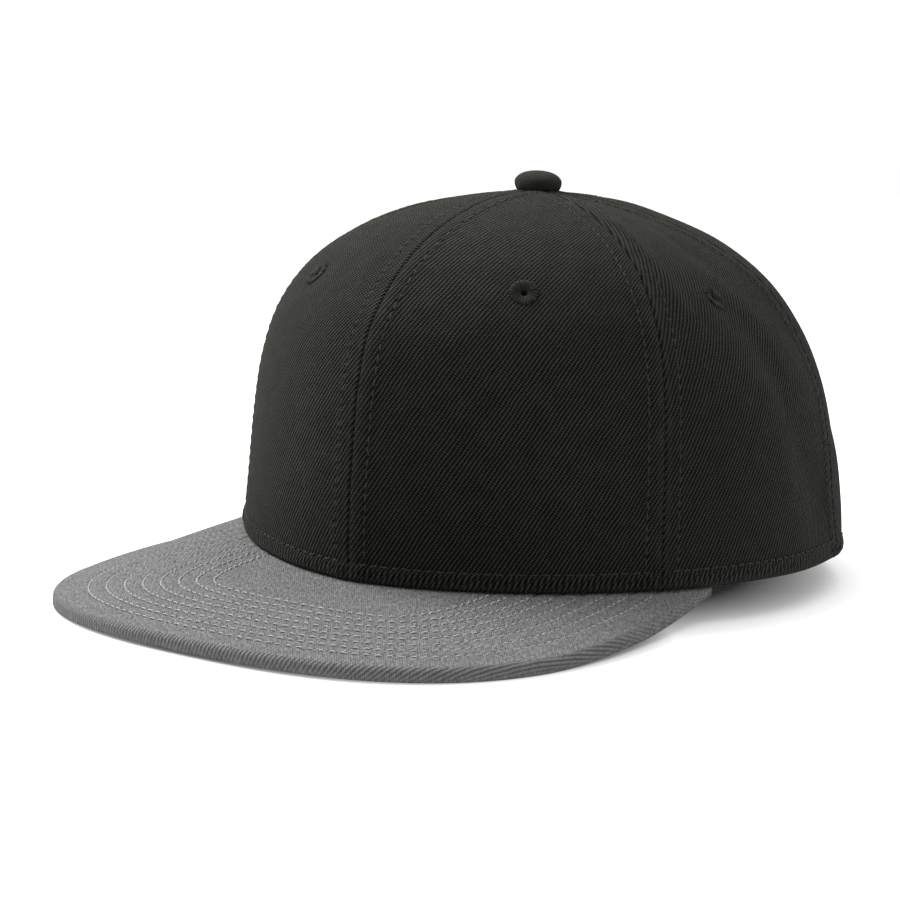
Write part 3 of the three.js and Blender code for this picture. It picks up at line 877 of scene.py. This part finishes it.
def panel_runs(panel):
    runs = []
    for which in (0, 1):
        line, normals = cloth_line(panel, *beside_seam(panel, which, SEAM_ROW))
        runs.append(along_part(stitch_run(line, normals), RIM_ROW, 5))
    line, normals = cloth_line(panel, *beside_edge(panel, RIM_ROW))
    runs.append(along_part(stitch_run(line, normals), 1, 1))
    return runs


def mirrored_run(run):
    turned = dict(run)
    for key in ("at", "ahead", "up"):
        turned[key] = mirrored(run[key])
    return turned


def make_eyelet(panel):
    """A ring of satin stitches round a small hole, through the cloth."""
    profile = np.array([
        (4.02, -0.55), (4.05, -0.2), (3.95, 0.05), (3.6, 0.2), (3.1, 0.24), (2.5, 0.16), (1.9, 0.0),
        (1.4, -0.2), (1.08, -0.5), (EYELET_BORE, -1), (EYELET_BORE, -1.9), (1.3, -2.3), (2, -2.4),
        (2.45, -2.2), (2.45, -1.2), (2.45, -0.5),
    ])
    around = 176
    turn = np.arange(around) / around * 2 * np.pi
    threads = np.cos(28 * turn + 0.9 * np.sin(5 * turn))
    uneven = waver(turn * 9, 5 + panel["seed"], 2.0)
    radius = profile[:, 0][None] + (0.12 * uneven)[:, None] * smooth((profile[:, 0] - 3) / 1.2)[None]
    raised = smooth((profile[:, 1] + 0.4) / 0.5)
    height = profile[:, 1][None] + (0.13 * threads + 0.08 * uneven)[:, None] * raised[None]
    centre, normal = panel["seat"]
    aside = unit(np.cross((0, 0, 1), normal))
    upward = np.cross(normal, aside)
    ring = np.cos(turn)[:, None] * aside + np.sin(turn)[:, None] * upward
    points = centre + ring[:, None] * radius[..., None] + normal * height[..., None]
    weave = np.stack(np.broadcast_arrays(turn[:, None] * 4.4, profile[:, 0][None], 0.0), -1)
    faces = eyelet_faces(around, len(profile))
    for side, word in ((1, "left"), (-1, "right")):
        name = f"{panel['name']}_eyelet_{word}"
        placed = points if side > 0 else mirrored(points)
        turned = faces if side > 0 else faces[:, ::-1]
        layers = {"weave": weave.reshape(-1, 3)}
        piece("sewn_" + name, placed.reshape(-1, 3), turned, SATIN_THREAD, layers, [name])


def eyelet_faces(around, size):
    r, c = np.meshgrid(np.arange(around), np.arange(size), indexing="ij")
    r, c = r.ravel(), c.ravel()
    n, m = (r + 1) % around, (c + 1) % size
    return np.stack([r * size + c, n * size + c, n * size + m, r * size + m], -1)


PANELS = [
    {"name": "front", "seams": (0.0, FRONT_SEAM), "arch": False, "seed": 11},
    {"name": "side", "seams": (FRONT_SEAM, BACK_SEAM), "arch": False, "seed": 23},
    {"name": "back", "seams": (BACK_SEAM, math.pi), "arch": True, "seed": 37},
]
crown_runs = []
for panel in PANELS:
    degrees, climb = EYELETS[panel["name"]]
    panel["eyelet"] = (math.radians(degrees), climb)
    panel["seat"] = eyelet_seat(*panel["eyelet"])
    panel["lines"] = panel_lines(panel)
    make_panel(panel)
    make_eyelet(panel)
    for run in panel_runs(panel):
        crown_runs += [run, mirrored_run(run)]
stitch_piece("crown_stitches", crown_runs, CROWN_THREAD)


# Brim


def brim_edge(place):
    """The brim's outer edge seen from above, from 0 at the front middle to 1 at its end."""
    front_part = 0.75
    share = np.abs(place)
    turn = np.clip(share / front_part, 0, 1) * np.pi / 2
    power = 2 / BRIM_ROUNDNESS
    ahead = CROWN_FRONT_REACH + BRIM_LENGTH - BRIM_WIDEST_AHEAD
    rear = np.clip((share - front_part) / (1 - front_part), 0, 1)
    x = BRIM_HALF_WIDTH * np.sin(turn) ** power
    x = x - (BRIM_HALF_WIDTH - BRIM_END_HALF_WIDTH) * rear**2
    y = -BRIM_WIDEST_AHEAD - ahead * np.maximum(np.cos(turn), 0) ** power
    y = y + (BRIM_WIDEST_AHEAD - BRIM_END_AHEAD) * rear
    return np.stack([np.sign(place) * x, y, 0 * x], -1)


def brim_edge_outward(place):
    """The level direction out of the brim, square to its outer edge."""
    step = 1e-4
    ahead = unit(brim_edge(place + step) - brim_edge(place - step))
    return np.stack([ahead[:, 1], -ahead[:, 0], 0 * ahead[:, 0]], -1)


def brim_thickness(place):
    thinning = smooth((np.abs(place) - 0.8) / 0.2)
    return BRIM_THICKNESS + (BRIM_END_THICKNESS - BRIM_THICKNESS) * thinning


def brim_root_height(place):
    return rim_lift(place * BRIM_ATTACH) - CLEARANCE - brim_thickness(place) / 2


def brim_edge_height(place):
    corner = 0.58
    share = np.abs(place)
    resting = BRIM_THICKNESS / 2
    ahead = resting + BRIM_FRONT_RISE * (1 + np.cos(np.pi * share / corner)) / 2
    way = np.clip((share - corner) / (1 - corner), 0, 1)
    behind = resting + (brim_root_height(np.array(1.0)) - resting) * way**1.6
    return np.where(share < corner, ahead, behind)


def brim_root(place):
    angle = place * BRIM_ATTACH
    inward = unit(crown_normal(angle, np.zeros_like(angle)) * (1, 1, 0))
    point = rim_point(angle) - inward * BRIM_TUCK
    point[..., 2] = brim_root_height(place)
    return point


def brim_outline(place):
    edge = brim_edge(place)
    edge[..., 2] = brim_edge_height(place)
    return edge


def brim_places(count):
    """Places along the brim at equal steps of its outer edge."""
    fine = np.linspace(-1, 1, 2001)
    length = length_along(brim_edge(fine))
    return np.interp(np.linspace(0, length[-1], count), length, fine)


BRIM_COLUMNS = 421
BRIM_TOP_ROWS = 150
# The rolled edge: millimetres in from the outermost line, and shares of half the thickness.
ROLLED_EDGE = (
    (2.4, 1), (1.8, 0.975), (1.3, 0.93), (0.85, 0.86), (0.5, 0.76), (0.24, 0.62), (0.08, 0.44),
    (0.01, 0.24), (0, 0.02), (0, -0.25), (0, -0.55), (0.02, -0.8), (0.1, -0.93), (0.35, -1),
)
BRIM_EDGE_LINE = brim_edge(np.linspace(-1, 1, 900))


def brim_pillow(points):
    """The brim's sewn rows: shallow channels with a hint of fullness between them."""
    flat = points * (1, 1, 0)
    away, _ = nearest(flat, BRIM_EDGE_LINE)
    total = 0.1 * (1 - bump((away - 4.5) / 4.0, 1.0))
    for row in BRIM_ROWS:
        total = total - BRIM_ROW_DEPTH * bump(away - row, 0.6)
    return total + 0.16 * bump(away, 2.2)


def brim_section(place, from_edge, raise_share):
    """Points of the brim by distance in from the edge and share of half the thickness."""
    root, edge = brim_root(place), brim_outline(place)
    length = np.linalg.norm(root - edge, axis=-1)
    way = np.clip(1 - from_edge / length, 0, 1)
    point = root + (edge - root) * way[..., None]
    point[..., 2] += raise_share * brim_thickness(place) / 2
    return point


def brim_measures():
    """Places along the brim, its length and half thickness there, and how its edge shrinks."""
    place = brim_places(BRIM_COLUMNS)
    length = np.linalg.norm(brim_root(place) - brim_outline(place), axis=-1)
    return place, length, brim_thickness(place) / 2, np.minimum(1, length / 8)


def make_brim_top():
    place, length, half, scale = brim_measures()
    floor = -1 + (UNDER_CLOTH + CLEARANCE) / half
    columns, around, rolled = [], [], []
    ribbed = 1 - smooth((np.abs(place) - 0.68) / 0.12)
    for k in range(BRIM_TOP_ROWS):
        share = k / BRIM_TOP_ROWS
        from_edge = length + (scale * ROLLED_EDGE[0][0] - length) * share
        columns.append(brim_section(place, from_edge, 1 + 0 * place))
        rolled.append(0 * place)
        around.append(None)
    reach = 0
    before = ROLLED_EDGE[0]
    for inward, raised in ROLLED_EDGE:
        columns.append(brim_section(place, inward * scale, raised + 0 * place))
        reach += math.hypot(inward - before[0], (raised - before[1]) * BRIM_THICKNESS / 2)
        before = (inward, raised)
        around.append(reach)
        rolled.append(ribbed * smooth((reach - 0.8) / 0.9) * (1 - 0.85 * smooth((reach - 3.5) / 0.7)))
    lip = BRIM_LIP * scale
    for inward, raised in ((lip, -1 + 0 * place), (lip, floor), (length * 0.5, floor), (length, floor)):
        columns.append(brim_section(place, inward, raised))
        around.append(None)
        rolled.append(0 * place)
    points = np.stack(columns, 1)
    pillow = brim_pillow(points.reshape(-1, 3)).reshape(points.shape[:2])
    top = np.zeros(points.shape[1])
    top[: BRIM_TOP_ROWS + 3] = 1
    top[BRIM_TOP_ROWS + 3] = 0.6
    points[..., 2] += pillow * top * smooth(length / 14)[:, None]
    weave = points * (1, 1, 0)
    outward = brim_edge_outward(place)
    flat_end = weave[:, BRIM_TOP_ROWS].copy()
    for k, reach in enumerate(around):
        if reach is not None:
            weave[:, k] = flat_end + outward * reach
    faces = tube_faces(len(place), points.shape[1])
    layers = {"weave": weave.reshape(-1, 3), "rolled": np.stack(rolled, 1).ravel()}
    piece("cloth_brim_top", points.reshape(-1, 3), faces, BRIM_TWILL, layers, ["brim_top"])
    return points[:, : BRIM_TOP_ROWS + 1].reshape(-1, 3)


def make_brim_under():
    """The lower cloth, let into the rolled edge of the upper one."""
    place, length, half, scale = brim_measures()
    top = -1 + UNDER_CLOTH / half
    edge_in = (BRIM_LIP + CLEARANCE) * scale
    columns = []
    for k in range(3):
        columns.append(brim_section(place, length + (edge_in - length) * k / 2, top))
    rows = 90
    for k in range(rows):
        columns.append(brim_section(place, edge_in + (length - edge_in) * k / (rows - 1), -1 + 0 * place))
    points = np.stack(columns, 1)
    pillow = brim_pillow(points.reshape(-1, 3)).reshape(points.shape[:2])
    pillow[:, :3] = 0
    points[..., 2] -= np.minimum(pillow, 0.0) * smooth(length / 14)[:, None]
    faces = tube_faces(len(place), points.shape[1])
    flat = points.reshape(-1, 3)
    layers = {"weave": flat * (1, 1, 0)}
    piece("cloth_brim_under", flat, faces, BRIM_TWILL, layers, ["brim_under"])
    return points[:, 3:].reshape(-1, 3)


BRIM_STITCH_PITCH = 2.9
BRIM_STITCH_LENGTH = 2.35


def brim_row_lines():
    """Each sewn row seen from above, parallel to the outer edge and clear of the crown."""
    edge = resampled(BRIM_EDGE_LINE, 0.4)
    ahead = unit(np.gradient(edge, axis=0))
    inward = np.stack([-ahead[:, 1], ahead[:, 0], 0 * ahead[:, 0]], -1)
    lines = []
    for row in BRIM_ROWS:
        line = edge + inward * row
        clear = nearest(line, BRIM_EDGE_LINE)[0] > row - 0.08
        outside = (np.abs(line[:, 0]) / CROWN_HALF_WIDTH) ** FRONT_ROUNDNESS
        outside = outside + (np.abs(line[:, 1]) / CROWN_FRONT_REACH) ** FRONT_ROUNDNESS > 1.0
        lines.append(line[clear & outside & (line[:, 1] < -30)])
    return lines


def rows_on(surface, up, sink, lift):
    """Runs of stitches along the sewn rows, laid on a surface of the brim."""
    tree = KDTree(len(surface))
    for k, point in enumerate(surface):
        tree.insert((point[0], point[1], 0), k)
    tree.balance()
    runs = []
    for line in brim_row_lines():
        line = resampled(line, 1.45)
        heights = [np.mean([surface[k][2] for _, k, _ in tree.find_n((p[0], p[1], 0), 4)]) for p in line]
        placed = np.stack([line[:, 0], line[:, 1], heights], -1)
        normals = np.tile((0.0, 0.0, float(up)), (len(placed), 1))
        run = stitch_run(placed, normals, BRIM_STITCH_PITCH, BRIM_STITCH_LENGTH, sink, lift, True)
        aside = smooth((np.abs(run["at"][:, 0]) - 38) / 26)
        run["lift"], run["girth"] = lift * (1 - 0.7 * aside), 1 - 0.25 * aside
        runs.append(run)
    return runs


brim_surface = make_brim_top()
under_surface = make_brim_under()
stitch_piece("brim_stitches", rows_on(brim_surface, 1, 0.3, 0.3), BRIM_THREAD, 0.27, seed=5)
stitch_piece("brim_under_stitches", rows_on(under_surface, -1, 0.3, 0.16), BRIM_THREAD, 0.26, seed=6)


# Button


def make_button():
    """A covered button: cloth drawn over a dome and tucked in below it."""
    profile = (
        (0, 1), (0.16, 0.995), (0.32, 0.975), (0.48, 0.94), (0.62, 0.89), (0.75, 0.82), (0.86, 0.73),
        (0.94, 0.63), (0.985, 0.54), (1, 0.46), (0.995, 0.36), (0.975, 0.26), (0.94, 0.16), (0.89, 0.08),
        (0.82, 0.02),
    )
    around = 96
    turn = np.arange(around) / around * 2 * np.pi
    base = CROWN_HEIGHT - 0.15

    def ring(radius, height):
        return np.stack([np.cos(turn) * radius, np.sin(turn) * radius - APEX_AHEAD, 0 * turn + height], -1)

    rings, weave = [], []
    run, before = 0, profile[0]
    for out, up in profile:
        run += math.hypot((out - before[0]) * BUTTON_RADIUS, (up - before[1]) * BUTTON_HEIGHT)
        before = (out, up)
        pleats = 0.16 * np.cos(13 * turn) * smooth((0.3 - up) / 0.3)
        rings.append(ring(out * BUTTON_RADIUS + pleats, base + up * BUTTON_HEIGHT))
        weave.append(np.stack([np.cos(turn), np.sin(turn), 0 * turn], -1) * run * 1.6)
    shank = 2.6
    for height in (base, CROWN_HEIGHT - CLOTH_WALL - 1):
        rings.append(ring(shank, height))
        weave.append(weave[-1])
    rings[0] = rings[0][:1]
    points = np.concatenate(rings)
    flat = np.concatenate([weave[0][:1], *weave[1:]])
    faces = [(0, 1 + k, 1 + (k + 1) % around) for k in range(around)]
    faces += grid_faces(len(rings) - 1, around, 1, turned=True, wrap=True).tolist()
    last = 1 + (len(rings) - 2) * around
    faces.append([last + k for k in range(around)][::-1])
    # A layer value of 1.8 over the whole button paints a sheen highlight on it.
    layers = {"weave": flat, "wear": np.full(len(flat), 1.8)}
    piece("cloth_button", points, faces, CROWN_TWILL, layers, ["button"])


make_button()


# Sweatband and strap


def make_sweatband():
    """A closed band inside the rim, a little rippled on its inner side."""
    end = back_angle_at(ARCH_HALF_WIDTH + STRAP_OVERLAP + SWEATBAND_END_GAP)
    outside = CLOTH_WALL + CLEARANCE + SWEATBAND_EASE
    shares = np.array([0, 0.01, 0.03, 0.07, 0.12, 0.2, 0.35, 0.5, 0.65, 0.8, 0.9, 0.96, 0.99, 1])
    rises = SWEATBAND_SET_BACK + shares * SWEATBAND_HEIGHT
    angles = np.linspace(-end, end, 321)
    rows, columns = len(rises), len(angles)
    angle, rise = np.meshgrid(angles, rises)
    along = np.tile(length_along(rim_point(angles)), (rows, 1))
    ripple = 0.12 * waver(along, 51, 34.0) * smooth(rise / 14)
    outer = band_point(angle, rise, outside + 0 * ripple)
    inner = band_point(angle, rise, outside + SWEATBAND_THICKNESS + ripple)
    weave = np.stack([along, rise, 0 * rise], -1).reshape(-1, 3)
    points = np.concatenate((outer.reshape(-1, 3), inner.reshape(-1, 3)))
    layers = {"weave": np.tile(weave, (2, 1))}
    faces = sheet_faces(rows, columns)
    piece("cloth_sweatband", points, faces, CROWN_TWILL, layers, ["sweatband"])


make_sweatband()

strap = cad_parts["snap_strap"]
strap.data.materials.clear()
strap.data.materials.append(STRAP_PLASTIC)


# Floor, light and camera


def away_from(x, y, middle, half_width, half_length):
    """The square of how far out of an oval on the floor a place is: 1 on its edge."""
    aside = x * (1 / (half_width * MM))
    ahead = (y - middle * MM) * (1 / (half_length * MM))
    return aside * aside + ahead * ahead


def make_floor():
    """Pale paper that glows evenly, as if lit from below; the glow fades in ovals under the cap as a
    painted shadow.
    """
    mesh = bpy.data.meshes.new("floor")
    half = 6.0
    corners = [(-half, -half, 0), (half, -half, 0), (half, half, 0), (-half, half, 0)]
    mesh.from_pydata(corners, [], [(0, 1, 2, 3)])
    paint = Paint("floor_paper")
    x, y, _ = paint.split(paint.node("ShaderNodeTexCoord", {}, out=3))
    # Painted shadow: ovals round the crown's and the brim's footprints, where the floor's glow fades out.
    crown = (away_from(x, y, LENGTH_SHIFT, CROWN_HALF_WIDTH, CROWN_BACK_REACH) - 0.5) * 1.1
    brim = (away_from(x, y, LENGTH_SHIFT - 92, BRIM_HALF_WIDTH, 79) - 0.88) * 3.0
    glow_with_painted_shadow = paint.mix(crown.clamp().math("MINIMUM", brim.clamp()), (0, 0, 0, 1), (1, 1, 1, 1))
    inputs = {"Base Color": (0.4, 0.4, 0.4, 1), "Roughness": 0.9, "Specular IOR Level": 0.1}
    inputs["Emission Color"] = glow_with_painted_shadow
    inputs["Emission Strength"] = 0.64
    skin = paint.node("ShaderNodeBsdfPrincipled", {}, inputs)
    paint.node("ShaderNodeOutputMaterial", {}, {"Surface": skin})
    mesh.materials.append(paint.material)
    floor = bpy.data.objects.new("floor", mesh)
    bpy.context.scene.collection.objects.link(floor)


def make_world(strength):
    world = bpy.data.worlds.new("studio")
    world.use_nodes = True
    world.node_tree.nodes["Background"].inputs[0].default_value = (1, 1, 1, 1)
    world.node_tree.nodes["Background"].inputs[1].default_value = strength
    bpy.context.scene.world = world


def put(name, data, right, up, back, at):
    """Places a light or the camera, which look along their own -Z."""
    made = bpy.data.objects.new(name, data)
    made.matrix_world = Matrix([[right[k], up[k], back[k], at[k]] for k in range(3)] + [[0, 0, 0, 1]])
    bpy.context.scene.collection.objects.link(made)
    return made


def turned_to(azimuth, elevation):
    """Right, up and back for something that looks at the cap from there, in degrees.

    Azimuth 0 is the front and 90 the left."""
    a, e = math.radians(azimuth), math.radians(elevation)
    right = np.array([math.cos(a), math.sin(a), 0])
    back = np.array([math.sin(a) * math.cos(e), -math.cos(a) * math.cos(e), math.sin(e)])
    return right, np.cross(back, right), back


def soft_light(name, azimuth, elevation, distance, size, power):
    """A square soft light aimed at the cap."""
    light = bpy.data.lights.new(name, "AREA")
    light.size = size
    light.energy = power
    right, up, back = turned_to(azimuth, elevation)
    put(name, light, right, up, back, back * distance + (0, 0, 0.05))


CAMERA_AZIMUTH = 32.82
CAMERA_ELEVATION = 8.36
CAMERA_ROLL = math.radians(-2.58)
CAMERA_LENS = 86.07
CAMERA_PLACE = (337.7, -574.8, 131.7)


def make_camera():
    right, up, back = turned_to(CAMERA_AZIMUTH, CAMERA_ELEVATION)
    x = right * math.cos(CAMERA_ROLL) - up * math.sin(CAMERA_ROLL)
    y = right * math.sin(CAMERA_ROLL) + up * math.cos(CAMERA_ROLL)
    at = (np.array(CAMERA_PLACE) + (0, LENGTH_SHIFT, 0)) * MM
    data = bpy.data.cameras.new("camera")
    data.lens = CAMERA_LENS
    data.sensor_width = 36
    data.clip_start = 0.01
    bpy.context.scene.camera = put("camera", data, x, y, back, at)


make_floor()
make_world(1.0)
soft_light("key", -76, 46, 0.62, 0.4, 8.4)
soft_light("back", 166, 60, 1.5, 1.0, 14)
soft_light("fill", 10, 50, 1.3, 1.0, 2)
make_camera()
bpy.context.scene.view_settings.view_transform = "Standard"
